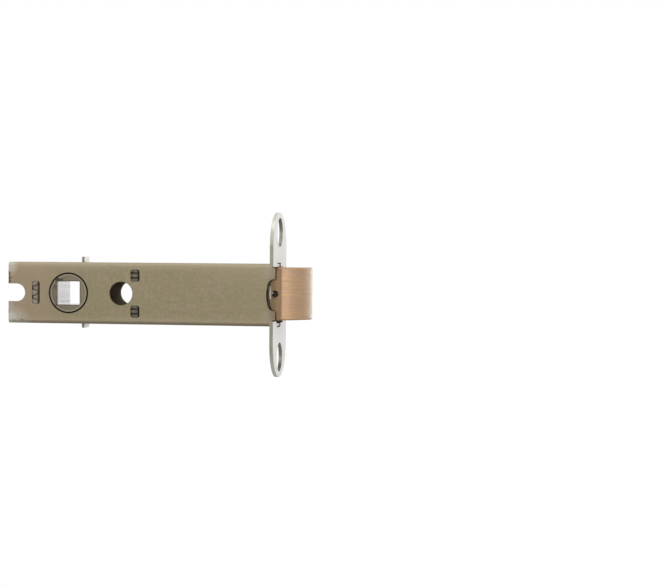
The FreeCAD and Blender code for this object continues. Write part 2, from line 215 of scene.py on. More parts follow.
def makeCrevice(values):
    group, entry, leave = newGroup("Crevice", [("Reach", "Float", values["reach"])],
                                   [("Mask", "Float")])
    shade = make(group, "AmbientOcclusion", {"samples": values["samples"]},
                 Distance=entry["Reach"])
    feed(group, leave["Mask"], maths(group, "SUBTRACT", 1.0, shade.outputs["AO"]))
    return group


facingValues = {"asideLow": 0.5, "asideHigh": 0.9, "nearLow": -0.92, "nearHigh": -0.99}


def makeFacing(values):
    group, _, leave = newGroup("Facing", [], [("Aside", "Float"), ("Near", "Float")])
    normal = split(group, make(group, "TexCoord").outputs["Normal"])
    aside = remap(group, maths(group, "ABSOLUTE", normal[0]), values["asideLow"],
                  values["asideHigh"], smooth=True)
    near = remap(group, normal[1], values["nearLow"], values["nearHigh"], smooth=True)
    feed(group, leave["Aside"], aside)
    feed(group, leave["Near"], near)
    return group


spotValues = {"reach": 0.001, "core": 0.3}


def makeSpot(values):
    group, entry, leave = newGroup(
        "Spot", [("Place", "Vector", None), ("Centre", "Vector", None),
                 ("Reach", "Float", values["reach"]), ("Share", "Float", 1.0)],
        [("Mask", "Float")])
    away = vectorMaths(group, "DISTANCE", entry["Place"], entry["Centre"])
    near = remap(group, maths(group, "DIVIDE", away, entry["Reach"]), 1.0, values["core"],
                 smooth=True)
    feed(group, leave["Mask"], allOf(group, near, entry["Share"]))
    return group


mottle = makeMottle(mottleValues)
grain = makeGrain(grainValues)
wear = makeWear(wearValues)
crevice = makeCrevice(creviceValues)
facing = makeFacing(facingValues)
spot = makeSpot(spotValues)
print("stage: shared effects built")


# Steps that more than one material takes

def newMaterial(name):
    material = bpy.data.materials.new(name)
    material.use_nodes = True
    tree = material.node_tree
    tree.nodes.clear()
    surface = make(tree, "BsdfPrincipled")
    output = make(tree, "OutputMaterial")
    tree.links.new(surface.outputs[0], output.inputs["Surface"])
    return material, tree, surface


def bumped(tree, height, strength, distance, normal=None):
    made = make(tree, "Bump", Height=height, Strength=strength, Distance=distance)
    if normal is not None:
        feed(tree, made.inputs["Normal"], normal)
    return made.outputs["Normal"]


# A named colour laid over by a mask, times that name's amount
def overlaid(tree, colour, mask, values, name):
    share = allOf(tree, mask, values[name + "Amount"])
    return mixed(tree, share, colour, values[name + "Colour"])


# A named colour that comes in from its start to its end, up to its share
def fadedIn(tree, colour, value, values, name, smooth=True):
    mask = remap(tree, value, values[name + "Start"], values[name + "End"], 0.0,
                 values[name + "Share"], smooth)
    return mixed(tree, mask, colour, values[name + "Colour"])


# Spots are centre, reach and share; a second mask can break them up
def spotted(tree, colour, place, spots, spotColour, breaks=1.0):
    for centre, reach, share in spots:
        made = useGroup(tree, spot, Place=place, Centre=centre, Reach=reach, Share=share)
        colour = mixed(tree, allOf(tree, made["Mask"], breaks), colour, spotColour)
    return colour


# Lighter and darker by the amount as the value goes from low to high
def toned(tree, colour, value, low, high, amount):
    tone = remap(tree, value, low, high, 1 - amount, 1 + amount)
    grey = make(tree, "CombineColor", Red=tone, Green=tone, Blue=tone).outputs[0]
    return mixed(tree, 1.0, colour, grey, "MULTIPLY")


# One between low and high, fading out past them
def banded(tree, value, low, high, lowFade, highFade):
    return allOf(tree, remap(tree, value, low - lowFade, low),
                 remap(tree, value, high + highFade, high))


# The way out from an axis along Y
def outFrom(tree, place, axis):
    return vectorMaths(tree, "MULTIPLY", vectorMaths(tree, "SUBTRACT", place, axis),
                       (1.0, 0.0, 1.0))


steelValues = {"lineLow": 0.3, "lineHigh": 0.7, "glossSpread": 0.06, "bumpDepth": 0.00002}


def plainSteel(tree, surface, values):
    place = make(tree, "TexCoord").outputs["Object"]
    low, high = steelValues["lineLow"], steelValues["lineHigh"]
    patches = useGroup(tree, mottle, Place=place, Size=values["mottleSize"])
    lines = useGroup(tree, grain, Place=place, Stretch=values["grainStretch"])
    worn = useGroup(tree, wear, Place=place)
    gaps = useGroup(tree, crevice, Reach=values["creviceShadeReach"])
    colour = mixed(tree, patches["Patch"], values["colour"], values["patchColour"])
    colour = overlaid(tree, colour, patches["Cloud"], values, "cloud")
    colour = toned(tree, colour, lines["Fine"], low, high, values["grainAmount"])
    colour = overlaid(tree, colour, patches["Speck"], values, "speck")
    colour = overlaid(tree, colour, worn["Mask"], values, "wear")
    # Painted shade in crevices and recesses, from the ambient occlusion mask
    creviceShade = allOf(tree, gaps["Mask"], values["creviceShadeAmount"])
    colour = mixed(tree, creviceShade, colour, values["creviceShadeColour"])
    roughness = remap(tree, lines["Broad"], low, high,
                      values["roughness"] - steelValues["glossSpread"],
                      values["roughness"] + steelValues["glossSpread"])
    height = maths(tree, "ADD", lines["Fine"], patches["Cloud"])
    normal = bumped(tree, height, values["bump"], steelValues["bumpDepth"])
    feed(tree, surface.inputs["Base Color"], colour)
    feed(tree, surface.inputs["Metallic"], values["metallic"])
    feed(tree, surface.inputs["Roughness"], roughness)
    feed(tree, surface.inputs["Normal"], normal)
    return {"place": place, "colour": colour, "normal": normal, "creviceShade": creviceShade}


# Materials, one builder each beside its values

caseSteel = {
    "colour": screen(153, 143, 113), "patchColour": screen(162, 145, 123),
    "cloudColour": screen(145, 138, 107), "cloudAmount": 0.65,
    "speckColour": screen(96, 86, 66), "speckAmount": 0.3,
    "wearColour": screen(205, 199, 184), "wearAmount": 0.55,
    "creviceShadeColour": screen(40, 32, 22), "creviceShadeAmount": 0.75, "creviceShadeReach": 0.0011,
    "mottleSize": 1.0, "grainStretch": (0.03, 1.0, 1.0), "grainAmount": 0.05,
    "roughness": 0.42, "metallic": 0.78, "bump": 0.35,
    "blushColour": screen(164, 141, 120), "blushSize": 2.6, "blushAmount": 0.3,
    "greenColour": screen(140, 138, 106), "greenSize": 3.7, "greenAmount": 0.2,
    "fineColour": screen(134, 127, 98), "fineSize": 2.1, "fineAmount": 0.55,
    "wornColour": screen(196, 190, 178),
    "wornSpots": (((-0.0935, -0.00675, -0.0102), 0.0066, 0.5),
                  ((-0.0952, -0.00675, -0.0088), 0.0029, 0.95),
                  ((-0.0962, -0.00675, 0.0092), 0.0044, 0.75),
                  ((-0.0958, -0.00675, -0.005), 0.003, 0.35),
                  ((-0.002, -0.00675, -0.0078), 0.004, 0.14),
                  ((-0.0015, -0.00675, 0.0085), 0.0045, 0.12)),
    "bruiseColour": screen(92, 74, 62),
    "bruiseSpots": (((-0.0959, -0.00675, 0.0067), 0.0011, 0.9),
                    ((-0.0957, -0.00675, 0.0052), 0.001, 0.8),
                    ((-0.0957, -0.00675, 0.0039), 0.001, 0.85),
                    ((-0.096, -0.00675, -0.0068), 0.0007, 0.5),
                    ((-0.0909, -0.00675, -0.0096), 0.0006, 0.6),
                    ((-0.0941, -0.00675, -0.0099), 0.0011, 0.25)),
    "markColour": screen(66, 56, 46), "markSize": 0.62,
    "markSpots": (((-0.096, -0.00675, 0.0065), 0.0026, 2.0),
                  ((-0.0905, -0.00675, -0.0096), 0.0022, 1.6),
                  ((-0.0034, -0.00675, -0.0058), 0.0013, 3.0)),
    "insideColour": screen(190, 172, 150), "insideDepth": 0.00578, "insideHeight": 0.00978,
    "insideAmount": 0.85,
    "bandColour": screen(164, 152, 128), "bandStart": 0.0072, "bandEnd": 0.0104,
    "bandShare": 0.75,
    "lipColour": screen(124, 107, 85), "lipStart": -0.0038, "lipEnd": -0.0012, "lipShare": 1.0,
    "rearColour": screen(167, 144, 122), "rearStart": -0.072, "rearEnd": -0.086,
    "rearLeast": 0.5, "upperShare": 0.7,
    "frontColour": screen(158, 145, 119), "frontStart": -0.03, "frontEnd": -0.01,
    "lowColour": screen(170, 155, 131), "lowStart": -0.0072, "lowEnd": -0.0095,
    "lowShare": 0.38,
    "foldColour": screen(129, 117, 99), "foldStart": -0.0099, "foldEnd": -0.0105,
    "foldShare": 0.8,
    "wallColour": screen(60, 47, 32), "wallInner": 0.00582, "wallOuter": 0.00672,
    "wallHeight": 0.0098, "wallStart": -0.0886, "wallShare": 0.9,
    "specular": 0.5, "wallMetallic": 0.0, "wallSpecular": 0.05,
    "lipWallColour": screen(112, 92, 64), "lipWallStart": -0.0012,
    "hubAxis": (-0.074, 0.0, 0.0), "hubInner": 0.00708, "hubOuter": 0.0073, "hubShare": 0.85,
    "tabColour": screen(232, 227, 220), "tabStart": -0.00056, "tabHeight": 0.0097,
}


def makeCaseSteel(values):
    material, tree, surface = newMaterial("case_steel")
    base = plainSteel(tree, surface, values)
    place, colour = base["place"], base["colour"]
    for name, layer in (("blush", "Patch"), ("green", "Patch"), ("fine", "Cloud")):
        patches = useGroup(tree, mottle, Place=place, Size=values[name + "Size"])
        colour = overlaid(tree, colour, patches[layer], values, name)
    along, through, up = split(tree, place)
    colour = fadedIn(tree, colour, along, values, "lip")
    upper = remap(tree, up, 0.0, values["bandEnd"], 0.0, values["upperShare"], smooth=True)
    rear = remap(tree, along, values["rearStart"], values["rearEnd"], smooth=True)
    front = remap(tree, along, values["frontStart"], values["frontEnd"], smooth=True)
    rearShare = maths(tree, "MAXIMUM", upper, values["rearLeast"])
    colour = mixed(tree, allOf(tree, rear, rearShare), colour, values["rearColour"])
    colour = mixed(tree, allOf(tree, front, upper), colour, values["frontColour"])
    # A painted highlight lightens the face up to the top fold (band), the face is lighter towards
    # the bottom (low), and painted shade darkens the bottom fold (fold)
    for name in ("band", "low", "fold"):
        colour = fadedIn(tree, colour, up, values, name)
    colour = spotted(tree, colour, place, values["wornSpots"], values["wornColour"])
    colour = spotted(tree, colour, place, values["bruiseSpots"], values["bruiseColour"])
    specks = useGroup(tree, mottle, Place=place, Size=values["markSize"])["Speck"]
    colour = spotted(tree, colour, place, values["markSpots"], values["markColour"], specks)
    depth = maths(tree, "ABSOLUTE", through)
    height = maths(tree, "ABSOLUTE", up)
    # Painted light: the inner faces are much lighter, so they show through the holes
    inside = allOf(tree, maths(tree, "LESS_THAN", depth, values["insideDepth"]),
                   maths(tree, "LESS_THAN", height, values["insideHeight"]))
    colour = overlaid(tree, colour, inside, values, "inside")
    # The walls of the holes and slots, in the sheet's shadow
    cut = allOf(tree, maths(tree, "GREATER_THAN", depth, values["wallInner"]),
                maths(tree, "LESS_THAN", depth, values["wallOuter"]),
                maths(tree, "LESS_THAN", height, values["wallHeight"]),
                maths(tree, "GREATER_THAN", along, values["wallStart"]))
    ahead = maths(tree, "GREATER_THAN", along, values["lipWallStart"])
    wall = mixed(tree, ahead, values["wallColour"], values["lipWallColour"])
    colour = mixed(tree, allOf(tree, cut, values["wallShare"]), colour, wall)
    # Painted shade: a dark ring round the hub's hole in the sides
    radius = vectorMaths(tree, "LENGTH", outFrom(tree, place, values["hubAxis"]))
    ring = remap(tree, radius, values["hubOuter"], values["hubInner"], 0.0, values["hubShare"],
                 smooth=True)
    colour = mixed(tree, ring, colour, values["wallColour"])
    # Painted light: the tabs' ends look along X and are pale like the forend's face
    tab = allOf(tree, maths(tree, "GREATER_THAN", height, values["tabHeight"]),
                maths(tree, "GREATER_THAN", along, values["tabStart"]))
    colour = mixed(tree, tab, colour, values["tabColour"])
    metal = chosen(tree, cut, values["metallic"], values["wallMetallic"])
    shine = chosen(tree, cut, values["specular"], values["wallSpecular"])
    feed(tree, surface.inputs["Base Color"], colour)
    feed(tree, surface.inputs["Metallic"], metal)
    feed(tree, surface.inputs["Specular IOR Level"], shine)
    return material


forendSteel = {
    "colour": screen(151, 148, 134), "patchColour": screen(142, 139, 124),
    "cloudColour": screen(157, 154, 141), "cloudAmount": 0.5,
    "speckColour": screen(110, 102, 86), "speckAmount": 0.2,
    "wearColour": screen(215, 212, 205), "wearAmount": 0.35,
    "creviceShadeColour": screen(52, 44, 34), "creviceShadeAmount": 0.45, "creviceShadeReach": 0.0008,
    "mottleSize": 1.3, "grainStretch": (1.0, 1.0, 0.03), "grainAmount": 0.06,
    "roughness": 0.36, "metallic": 0.75, "bump": 0.3,
    "faceColour": screen(231, 229, 227), "faceShade": screen(213, 211, 208),
    "faceSize": 1.7, "faceStretch": (1.0, 0.4, 0.03),
    "stainColour": screen(150, 140, 124), "stainAmount": 0.5,
    "lowColour": screen(255, 253, 251), "lowStart": -0.004, "lowEnd": -0.016, "lowShare": 0.8,
    "endColour": screen(228, 228, 217), "endStart": 0.0162, "endFull": 0.0235, "endAmount": 0.62,
    "holeHeight": 0.0216, "holeRim": 0.0056,
}


def makeForendSteel(values):
    material, tree, surface = newMaterial("forend_steel")
    base = plainSteel(tree, surface, values)
    place = base["place"]
    patches = useGroup(tree, mottle, Place=place, Size=values["faceSize"])
    lines = useGroup(tree, grain, Place=place, Stretch=values["faceStretch"])
    _, through, up = split(tree, place)
    # The cut edge is paler towards the plate's ends, but not in the screw holes
    height = maths(tree, "ABSOLUTE", up)
    end = remap(tree, height, values["endStart"], values["endFull"], 0.0, values["endAmount"])
    above = maths(tree, "SUBTRACT", height, values["holeHeight"])
    apart = make(tree, "CombineXYZ", Y=through, Z=above).outputs[0]
    rim = maths(tree, "GREATER_THAN", vectorMaths(tree, "LENGTH", apart), values["holeRim"])
    edge = mixed(tree, allOf(tree, end, rim), base["colour"], values["endColour"])
    # The faces that look along X are bright zinc with painted light over it, brighter still low
    # down, and painted shade in their crevices
    face = mixed(tree, lines["Broad"], values["faceColour"], values["faceShade"])
    face = fadedIn(tree, face, up, values, "low", smooth=False)
    face = overlaid(tree, face, patches["Speck"], values, "stain")
    face = mixed(tree, base["creviceShade"], face, values["creviceShadeColour"])
    aside = useGroup(tree, facing)["Aside"]
    feed(tree, surface.inputs["Base Color"], mixed(tree, aside, edge, face))
    return material


tenonSteel = {
    "colour": screen(110, 101, 90), "patchColour": screen(94, 85, 76),
    "cloudColour": screen(132, 123, 112), "cloudAmount": 0.6,
    "speckColour": screen(60, 52, 42), "speckAmount": 0.5,
    "wearColour": screen(172, 164, 148), "wearAmount": 0.6,
    "creviceShadeColour": screen(30, 24, 16), "creviceShadeAmount": 1.6, "creviceShadeReach": 0.0008,
    "mottleSize": 3.0, "grainStretch": (1.0, 1.0, 0.2), "grainAmount": 0.1,
    "roughness": 0.5, "metallic": 0.6, "bump": 0.6,
    "rearColour": screen(166, 155, 136), "rearStart": -0.06, "rearEnd": -0.08, "rearShare": 0.6,
    "shadeColour": screen(52, 43, 34), "shadeFades": ((-0.0494, -0.0488), (-0.0857, -0.0851)),
    "shadeShare": 0.8, "shadeLength": 0.001,
}


def makeTenonSteel(values):
    material, tree, surface = newMaterial("tenon_steel")
    base = plainSteel(tree, surface, values)
    along = split(tree, base["place"])[0]
    colour = fadedIn(tree, base["colour"], along, values, "rear", smooth=False)
    for start, end in values["shadeFades"]:
        past = remap(tree, along, start, end, 0.0, values["shadeShare"], smooth=True)
        near = maths(tree, "LESS_THAN", along, end + values["shadeLength"])
        colour = mixed(tree, allOf(tree, past, near), colour, values["shadeColour"])
    feed(tree, surface.inputs["Base Color"], colour)
    return material


followerSteel = {
    "colour": screen(126, 119, 99), "patchColour": screen(136, 126, 106),
    "cloudColour": screen(114, 106, 88), "cloudAmount": 0.6,
    "speckColour": screen(70, 60, 46), "speckAmount": 0.4,
    "wearColour": screen(176, 168, 150), "wearAmount": 0.4,
    "creviceShadeColour": screen(38, 30, 20), "creviceShadeAmount": 0.9, "creviceShadeReach": 0.0009,
    "mottleSize": 2.2, "grainStretch": (1.0, 1.0, 1.0), "grainAmount": 0.05,
    "roughness": 0.45, "metallic": 0.7, "bump": 0.4,
    "axis": (-0.074, 0.0, 0.0), "ringScale": 5200.0, "ringAmount": 0.16,
    "ringBump": 0.25, "ringDepth": 0.00003, "wobbleScale": 700.0, "wobbleAmount": 1.4,
    "paleColour": screen(158, 151, 134), "paleStart": 0.0058, "paleEnd": 0.0063,
    "paleShare": 0.45,
    "rimDarkColour": screen(56, 46, 42),
    "rimDarkSpots": (((-0.0779, -0.00675, 0.0044), 0.0013, 0.9),
                ((-0.0765, -0.00675, 0.0044), 0.001, 0.75),
                ((-0.0783, -0.00675, -0.0041), 0.0008, 0.8),
                ((-0.0789, -0.00675, 0.0022), 0.0012, 0.35)),
    "wallColour": screen(244, 241, 244), "wallShade": screen(230, 226, 228),
    "wallHalf": 0.00412, "wallRoughness": 0.16, "wallStretch": (1.0, 0.03, 1.0),
    "leftColour": screen(104, 97, 80), "rightColour": screen(146, 134, 114),
    "shadeReach": 0.0075, "shadeShare": 0.55,
    "gapColour": screen(30, 23, 15), "gapRadius": 0.0066,
    "rimColour": screen(84, 74, 60), "rimInner": 0.0042, "rimOuter": 0.00455,
    "rimScale": 900.0, "rimLow": 0.4, "rimHigh": 0.6, "rimLeast": 0.25, "rimMost": 0.9,
    "mouthColour": screen(92, 82, 70), "mouthStart": -0.0054, "mouthEnd": -0.0064,
    "mouthShare": 0.8,
}


def makeFollowerSteel(values):
    material, tree, surface = newMaterial("follower_steel")
    base = plainSteel(tree, surface, values)
    place = base["place"]
    flat = outFrom(tree, place, values["axis"])
    radius = vectorMaths(tree, "LENGTH", flat)
    wobble = allOf(tree, noise(tree, place, values["wobbleScale"]), values["wobbleAmount"])
    turned = maths(tree, "MULTIPLY_ADD", radius, values["ringScale"], wobble)
    ring = maths(tree, "MULTIPLY_ADD", maths(tree, "SINE", turned), 0.5, 0.5)
    colour = toned(tree, base["colour"], ring, 0.0, 1.0, values["ringAmount"])
    across, _, up = split(tree, flat)
    level = remap(tree, across, -values["shadeReach"], values["shadeReach"])
    shade = mixed(tree, level, values["leftColour"], values["rightColour"])
    colour = mixed(tree, values["shadeShare"], colour, shade)
    colour = fadedIn(tree, colour, radius, values, "pale")
    # Darker spots along the square's top and left rim
    colour = spotted(tree, colour, place, values["rimDarkSpots"], values["rimDarkColour"])
    reach = maths(tree, "MAXIMUM", maths(tree, "ABSOLUTE", across), maths(tree, "ABSOLUTE", up))
    rim = remap(tree, reach, values["rimOuter"], values["rimInner"], smooth=True)
    worn = remap(tree, noise(tree, place, values["rimScale"]), values["rimLow"],
                 values["rimHigh"], values["rimLeast"], values["rimMost"])
    colour = mixed(tree, allOf(tree, rim, worn), colour, values["rimColour"])
    # Painted shade: the dark gap round the hub
    outer = maths(tree, "GREATER_THAN", radius, values["gapRadius"])
    colour = mixed(tree, outer, colour, values["gapColour"])
    # The square's walls, bright with painted reflection, darker at the mouth
    inSquare = maths(tree, "LESS_THAN", reach, values["wallHalf"])
    lines = useGroup(tree, grain, Place=place, Stretch=values["wallStretch"])
    wall = mixed(tree, lines["Broad"], values["wallColour"], values["wallShade"])
    wall = fadedIn(tree, wall, split(tree, place)[1], values, "mouth", smooth=False)
    polish = chosen(tree, inSquare, values["roughness"], values["wallRoughness"])
    normal = bumped(tree, ring, values["ringBump"], values["ringDepth"], base["normal"])
    feed(tree, surface.inputs["Base Color"], mixed(tree, inSquare, colour, wall))
    feed(tree, surface.inputs["Roughness"], polish)
    feed(tree, surface.inputs["Normal"], normal)
    return material


yokeSteel = {
    "colour": screen(146, 138, 126), "patchColour": screen(126, 116, 104),
    "cloudColour": screen(160, 152, 140), "cloudAmount": 0.5,
    "speckColour": screen(110, 100, 86), "speckAmount": 0.3,
    "wearColour": screen(222, 218, 210), "wearAmount": 0.5,
    "creviceShadeColour": screen(60, 50, 40), "creviceShadeAmount": 0.6, "creviceShadeReach": 0.0008,
    "mottleSize": 1.6, "grainStretch": (1.0, 0.05, 1.0), "grainAmount": 0.08,
    "roughness": 0.4, "metallic": 0.75, "bump": 0.4,
    "aheadColour": screen(244, 241, 236),
}


def makeYokeSteel(values):
    material, tree, surface = newMaterial("yoke_steel")
    base = plainSteel(tree, surface, values)
    # Painted light: the faces that look along X are much paler than the rest
    aside = useGroup(tree, facing)["Aside"]
    feed(tree, surface.inputs["Base Color"],
         mixed(tree, aside, base["colour"], values["aheadColour"]))
    return material


springSteel = {
    "colour": screen(128, 127, 128), "patchColour": screen(112, 110, 110),
    "cloudColour": screen(142, 140, 138), "cloudAmount": 0.5,
    "speckColour": screen(70, 62, 54), "speckAmount": 0.4,
    "wearColour": screen(180, 178, 176), "wearAmount": 0.3,
    "creviceShadeColour": screen(40, 34, 28), "creviceShadeAmount": 0.7, "creviceShadeReach": 0.0006,
    "mottleSize": 2.0, "grainStretch": (0.2, 1.0, 1.0), "grainAmount": 0.06,
    "roughness": 0.34, "metallic": 0.85, "bump": 0.3,
}


def makeSpringSteel(values):
    material, tree, surface = newMaterial("spring_steel")
    plainSteel(tree, surface, values)
    return material


carrierSteel = {
    "colour": screen(150, 145, 136), "patchColour": screen(138, 131, 120),
    "cloudColour": screen(163, 158, 148), "cloudAmount": 0.5,
    "speckColour": screen(84, 76, 66), "speckAmount": 0.4,
    "wearColour": screen(205, 200, 190), "wearAmount": 0.5,
    "creviceShadeColour": screen(44, 36, 26), "creviceShadeAmount": 0.8, "creviceShadeReach": 0.001,
    "mottleSize": 1.8, "grainStretch": (0.4, 1.0, 1.0), "grainAmount": 0.07,
    "roughness": 0.46, "metallic": 0.75, "bump": 0.5,
    "shadeColour": screen(40, 30, 16), "shadeStart": -0.0062, "shadeEnd": -0.005,
    "shadeShare": 0.9,
    "faceColour": screen(250, 242, 228), "faceDull": screen(238, 220, 186),
    "faceStart": -0.003305, "faceLow": -0.0012, "faceHigh": 0.0031, "faceFade": 0.0006,
    "faceNear": -0.0046, "faceMetallic": 0.1,
}


def makeCarrierSteel(values):
    material, tree, surface = newMaterial("carrier_steel")
    base = plainSteel(tree, surface, values)
    along, through, up = split(tree, base["place"])
    # Painted shade over the front end of the carrier's side; painted light on its front face where
    # the scoop shows it, dimmer outside the lit band, with painted shade on the face's near part
    colour = fadedIn(tree, base["colour"], along, values, "shade")
    face = maths(tree, "GREATER_THAN", along, values["faceStart"])
    lit = banded(tree, up, values["faceLow"], values["faceHigh"], values["faceFade"],
                 values["faceFade"])
    bright = mixed(tree, lit, values["faceDull"], values["faceColour"])
    near = maths(tree, "LESS_THAN", through, values["faceNear"])
    bright = mixed(tree, near, bright, values["shadeColour"])
    metal = chosen(tree, face, values["metallic"], values["faceMetallic"])
    feed(tree, surface.inputs["Base Color"], mixed(tree, face, colour, bright))
    feed(tree, surface.inputs["Metallic"], metal)
    return material


pinSteel = {
    "colour": screen(34, 21, 18), "patchColour": screen(26, 16, 14),
    "cloudColour": screen(44, 30, 25), "cloudAmount": 0.5,
    "speckColour": screen(80, 64, 54), "speckAmount": 0.2,
    "wearColour": screen(120, 106, 92), "wearAmount": 0.3,
    "creviceShadeColour": screen(20, 14, 10), "creviceShadeAmount": 1.3, "creviceShadeReach": 0.001,
    "mottleSize": 3.0, "grainStretch": (1.0, 1.0, 1.0), "grainAmount": 0.1,
    "roughness": 0.4, "metallic": 0.6, "bump": 0.5,
    "glintColour": screen(208, 196, 182),
    "glintSpots": (((-0.0017, -0.0048, 0.0008), 0.00045, 1.0),),
}


def makePinSteel(values):
    material, tree, surface = newMaterial("pin_steel")
    base = plainSteel(tree, surface, values)
    feed(tree, surface.inputs["Base Color"],
         spotted(tree, base["colour"], base["place"], values["glintSpots"],
                 values["glintColour"]))
    return material


boltBrass = {
    "colour": screen(168, 139, 110), "patchColour": screen(163, 137, 104),
    "cloudColour": screen(173, 141, 118), "cloudAmount": 0.5,
    "speckColour": screen(120, 92, 66), "speckAmount": 0.18,
    "wearColour": screen(226, 200, 170), "wearAmount": 0.4,
    "creviceShadeColour": screen(58, 42, 26), "creviceShadeAmount": 0.7, "creviceShadeReach": 0.0009,
    "mottleSize": 1.4, "grainStretch": (0.02, 0.1, 1.0), "grainAmount": 0.16,
    "roughness": 0.36, "metallic": 0.85, "bump": 0.35,
    "streakColour": screen(182, 150, 106), "streakStart": 0.45, "streakEnd": 0.7,
    "streakShare": 0.55,
    "flushColour": screen(178, 142, 120), "flushStart": 0.5, "flushEnd": 0.3, "flushShare": 0.5,
    "farColour": screen(194, 161, 129), "farStart": 0.0025, "farEnd": 0.006, "farShare": 0.75,
    "bandStretch": (0.06, 0.1, 1.0), "bandAmount": 0.12, "bandLow": 0.7, "bandHigh": 1.3,
    "yellowColour": screen(188, 156, 112), "yellowStart": 0.48, "yellowEnd": 0.64,
    "yellowShare": 0.5,
    "pinkColour": screen(190, 152, 130), "pinkStart": 0.5, "pinkEnd": 0.34, "pinkShare": 0.6,
    "sideColour": screen(142, 116, 88), "sideStart": 0.3, "sideEnd": 0.7, "sideShare": 0.35,
    "rearColour": screen(108, 93, 62), "rearEdge": -0.0016, "rearFade": 0.0022,
    "tipColour": screen(203, 189, 174), "tipStart": 0.8, "tipEnd": 0.97,
    "cheekColour": screen(222, 209, 190), "cheekDull": screen(150, 134, 106),
    "cheekEdge": -0.00202, "cheekLow": -0.001, "cheekHigh": 0.0029, "cheekLowFade": 0.0006,
    "cheekHighFade": 0.0004, "cheekMetallic": 0.3,
    "pinDarkColour": screen(58, 42, 29),
    "pinDarkSpots": (((-0.0009, -0.0055, 0.0002), 0.00175, 1.3),),
}


def makeBoltBrass(values):
    material, tree, surface = newMaterial("bolt_brass")
    base = plainSteel(tree, surface, values)
    place, colour = base["place"], base["colour"]
    along, _, up = split(tree, place)
    lines = useGroup(tree, grain, Place=place, Stretch=values["grainStretch"])
    bands = useGroup(tree, grain, Place=place, Stretch=values["bandStretch"])
    colour = fadedIn(tree, colour, lines["Broad"], values, "streak", smooth=False)
    colour = fadedIn(tree, colour, lines["Broad"], values, "flush", smooth=False)
    # Painted reflection: the bevel is lighter towards the tip
    colour = fadedIn(tree, colour, along, values, "far")
    colour = fadedIn(tree, colour, bands["Wide"], values, "yellow", smooth=False)
    colour = fadedIn(tree, colour, bands["Wide"], values, "pink", smooth=False)
    uneven = maths(tree, "ADD", bands["Broad"], bands["Wide"])
    colour = toned(tree, colour, uneven, values["bandLow"], values["bandHigh"],
                   values["bandAmount"])
    # Painted light: faces that look along X, as the tip does, are paler
    turned = split(tree, make(tree, "TexCoord").outputs["Normal"])[0]
    tip = remap(tree, turned, values["tipStart"], values["tipEnd"], smooth=True)
    colour = mixed(tree, tip, colour, values["tipColour"])
    # Painted shade: the flat near side, facing away from the light, is darker, darkest at its
    # rear, and darker round the pin's bore
    rear = remap(tree, along, values["rearEdge"] + values["rearFade"], values["rearEdge"],
                 smooth=True)
    side = mixed(tree, rear, values["sideColour"], values["rearColour"])
    streak = remap(tree, lines["Broad"], values["sideStart"], values["sideEnd"], 0.0,
                   values["sideShare"])
    side = mixed(tree, streak, side, values["colour"])
    side = mixed(tree, base["creviceShade"], side, values["creviceShadeColour"])
    side = spotted(tree, side, place, values["pinDarkSpots"], values["pinDarkColour"])
    colour = mixed(tree, useGroup(tree, facing)["Near"], colour, side)
    # The fork's rear end, bright where the scoop lets the light in
    cheek = maths(tree, "LESS_THAN", along, values["cheekEdge"])
    lit = banded(tree, up, values["cheekLow"], values["cheekHigh"], values["cheekLowFade"],
                 values["cheekHighFade"])
    crescent = mixed(tree, lit, values["cheekDull"], values["cheekColour"])
    metal = chosen(tree, cheek, values["metallic"], values["cheekMetallic"])
    feed(tree, surface.inputs["Base Color"], mixed(tree, cheek, colour, crescent))
    feed(tree, surface.inputs["Metallic"], metal)
    return material


materials = {
    "case_steel": makeCaseSteel(caseSteel),
    "forend_steel": makeForendSteel(forendSteel),
    "tenon_steel": makeTenonSteel(tenonSteel),
    "follower_steel": makeFollowerSteel(followerSteel),
    "yoke_steel": makeYokeSteel(yokeSteel),
    "spring_steel": makeSpringSteel(springSteel),
    "carrier_steel": makeCarrierSteel(carrierSteel),
    "pin_steel": makePinSteel(pinSteel),
    "bolt_brass": makeBoltBrass(boltBrass),
}
print("stage: materials built:", len(materials))


# Pieces: each is a softened copy of its solid

meshValues = {"weldDistance": 1e-6, "flatAngle": 0.6}


def softPiece(values):
    shape = bmesh.new()
    shape.from_mesh(nodes[values["node"]].data)
    bmesh.ops.remove_doubles(shape, verts=shape.verts, dist=meshValues["weldDistance"])
    bmesh.ops.dissolve_limit(shape, angle_limit=math.radians(meshValues["flatAngle"]),
                             verts=shape.verts, edges=shape.edges)
    if values["edge"] > 0:
        limit = math.radians(values["sharp"])
        edges = [edge for edge in shape.edges
                 if len(edge.link_faces) == 2 and edge.calc_face_angle(0) > limit]
        bmesh.ops.bevel(shape, geom=edges, offset=values["edge"], offset_type="OFFSET",
                        segments=values["segments"], profile=0.5, affect="EDGES",
                        clamp_overlap=False, material=-1)
    for face in shape.faces:
        face.smooth = True
    for edge in shape.edges:
        edge.smooth = edge.calc_face_angle(0) < math.radians(values["crease"])
    mesh = bpy.data.meshes.new(values["name"])
    shape.to_mesh(mesh)
    shape.free()
    piece = bpy.data.objects.new(values["name"], mesh)
    collection.objects.link(piece)
    mesh.materials.append(materials[values["slot"]])
    even = piece.modifiers.new("EvenNormals", "WEIGHTED_NORMAL")
    even.keep_sharp = True
    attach(piece, values["body"])
    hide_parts(values["node"])
    print("stage: piece", values["name"], len(mesh.polygons), "faces")
    return piece


def softPart(node, body, slot, edge=0.0001, segments=2, sharp=28.0, crease=50.0):
    return {"node": node, "name": node + "_look", "body": body, "slot": slot, "edge": edge,
            "segments": segments, "sharp": sharp, "crease": crease}


caseBody = softPart("case_body", "case", "case_steel", edge=0.00012)
softPiece(caseBody)

caseCover = softPart("case_cover", "case", "case_steel", edge=0.00012)
softPiece(caseCover)

forend = softPart("forend", "case", "forend_steel", edge=0.00012)
softPiece(forend)

